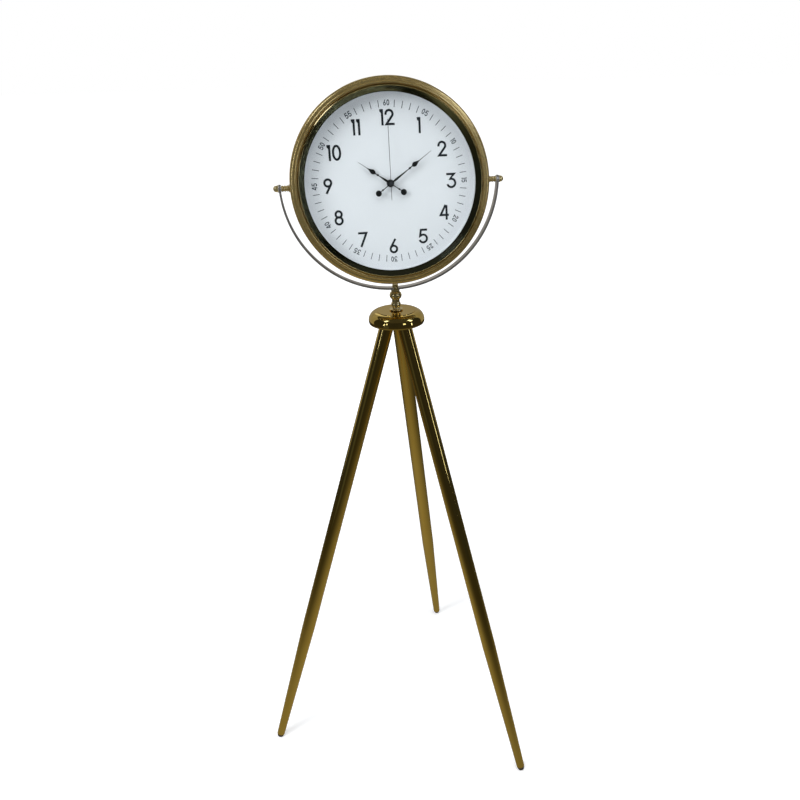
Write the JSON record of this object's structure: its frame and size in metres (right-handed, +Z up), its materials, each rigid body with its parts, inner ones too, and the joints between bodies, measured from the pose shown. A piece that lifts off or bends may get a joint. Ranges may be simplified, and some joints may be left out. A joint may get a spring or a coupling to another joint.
{
  "type": "tripod floor clock",
  "caption": "Round brass clock head that tilts in a flat-bar yoke, swivels on a turned post and stands on a splayed tripod of tapered tube legs.",
  "frame": {"origin": "on the floor, on the vertical axis of the hub, which is the swivel axis of the yoke", "axes": "+Z up along the hub's axis; the dial faces -Y and is tilted back from it; +X runs along the tilt axis to the right of someone who looks at the dial from behind, which is the right-hand side of the dial as it is read"},
  "size_m": [0.6045, 0.6372, 1.5838],
  "materials": {
    "polished_brass": "polished and lacquered",
    "gear_brass": "machined",
    "zinc_steel": "zinc plated",
    "cast_iron": "as cast, painted grey",
    "foot_rubber": "matte",
    "nickel_steel": "satin nickel plate",
    "dark_nylon": "satin",
    "white_nylon": "satin",
    "clear_glass": "clear float glass",
    "white_board": "matte",
    "dial_paint": "painted off-white, printed",
    "black_paint": "satin black",
    "black_plastic": "satin moulded",
    "motor": "copper winding on a moulded bobbin",
    "cell_jacket": "plain jacket",
    "hand_black": "painted satin black",
    "hand_grey": "painted satin grey"
  },
  "bodies": {
    "tripod": {"leg_left": "polished_brass", "leg_right": "polished_brass", "leg_rear": "polished_brass", "leg_plugs": "zinc_steel", "leg_studs": "zinc_steel", "foot_left": "foot_rubber", "foot_right": "foot_rubber", "foot_rear": "foot_rubber", "hub_cap": "polished_brass", "hub_block": "cast_iron", "swivel_bush": "dark_nylon"},
    "yoke": {"post": "polished_brass", "post_washer": "zinc_steel", "post_screw": "zinc_steel", "yoke_band": "nickel_steel", "yoke_screw": "polished_brass", "tilt_washers": "white_nylon"},
    "head": {"case_drum": "polished_brass", "bezel": "polished_brass", "lens": "clear_glass", "lens_gasket": "foot_rubber", "dial_ring": "white_board", "dial_plate": "dial_paint", "dial_clamp_ring": "zinc_steel", "back_cover": "black_paint", "back_screws": "zinc_steel", "side_pin_left": "polished_brass", "side_pin_right": "polished_brass", "side_pin_nuts": "zinc_steel", "movement_housing": "black_plastic", "movement_lid": "black_plastic", "motor_block": "motor", "battery_cell": "cell_jacket", "battery_contacts": "zinc_steel", "dial_washer": "zinc_steel", "dial_nut": "gear_brass"},
    "end_knob_left": {"knob_left": "polished_brass"},
    "end_knob_right": {"knob_right": "polished_brass"},
    "hour": {"hour_wheel": "gear_brass", "hour_hand": "hand_black"},
    "minute": {"minute_arbor": "gear_brass", "minute_hand": "hand_black"},
    "second": {"second_arbor": "zinc_steel", "second_hand": "hand_grey"},
    "setter": {"set_wheel": "gear_brass", "set_knob": "white_nylon"}
  },
  "joints": [
    {"name": "yoke_swivel", "type": "hinge", "parent": "tripod", "child": "yoke", "pos_m": [0, 0, 1.1215], "axis": [0, 0, 1], "continuous": true},
    {"name": "head_tilt", "type": "hinge", "parent": "yoke", "child": "head", "pos_m": [0, 0, 1.3845], "axis": [1, 0, 0], "continuous": true},
    {"name": "knob_left_turn", "type": "hinge", "parent": "head", "child": "end_knob_left", "pos_m": [-0.2212, 0, 1.3845], "axis": [-1, 0, 0], "range_deg": [0, 360]},
    {"name": "knob_right_turn", "type": "hinge", "parent": "head", "child": "end_knob_right", "pos_m": [0.2212, 0, 1.3845], "axis": [1, 0, 0], "range_deg": [0, 360]},
    {"name": "minute_hand_turn", "type": "hinge", "parent": "head", "child": "minute", "pos_m": [0, 0, 1.3845], "axis": [0, -0.996, 0.0889], "continuous": true},
    {"name": "hour_hand_turn", "type": "hinge", "parent": "head", "child": "hour", "pos_m": [0, 0, 1.3845], "axis": [0, -0.996, 0.0889], "continuous": true},
    {"name": "set_knob_turn", "type": "hinge", "parent": "head", "child": "setter", "pos_m": [-0.01, 0, 1.3845], "axis": [0, -0.996, 0.0889], "continuous": true},
    {"name": "second_hand_turn", "type": "hinge", "parent": "head", "child": "second", "pos_m": [0, 0, 1.3845], "axis": [0, -0.996, 0.0889], "continuous": true}
  ],
  "couplings": [
    {"joint": "hour_hand_turn", "follows": "minute_hand_turn", "ratio": 0.083333},
    {"joint": "set_knob_turn", "follows": "minute_hand_turn", "ratio": -0.33333}
  ]
}
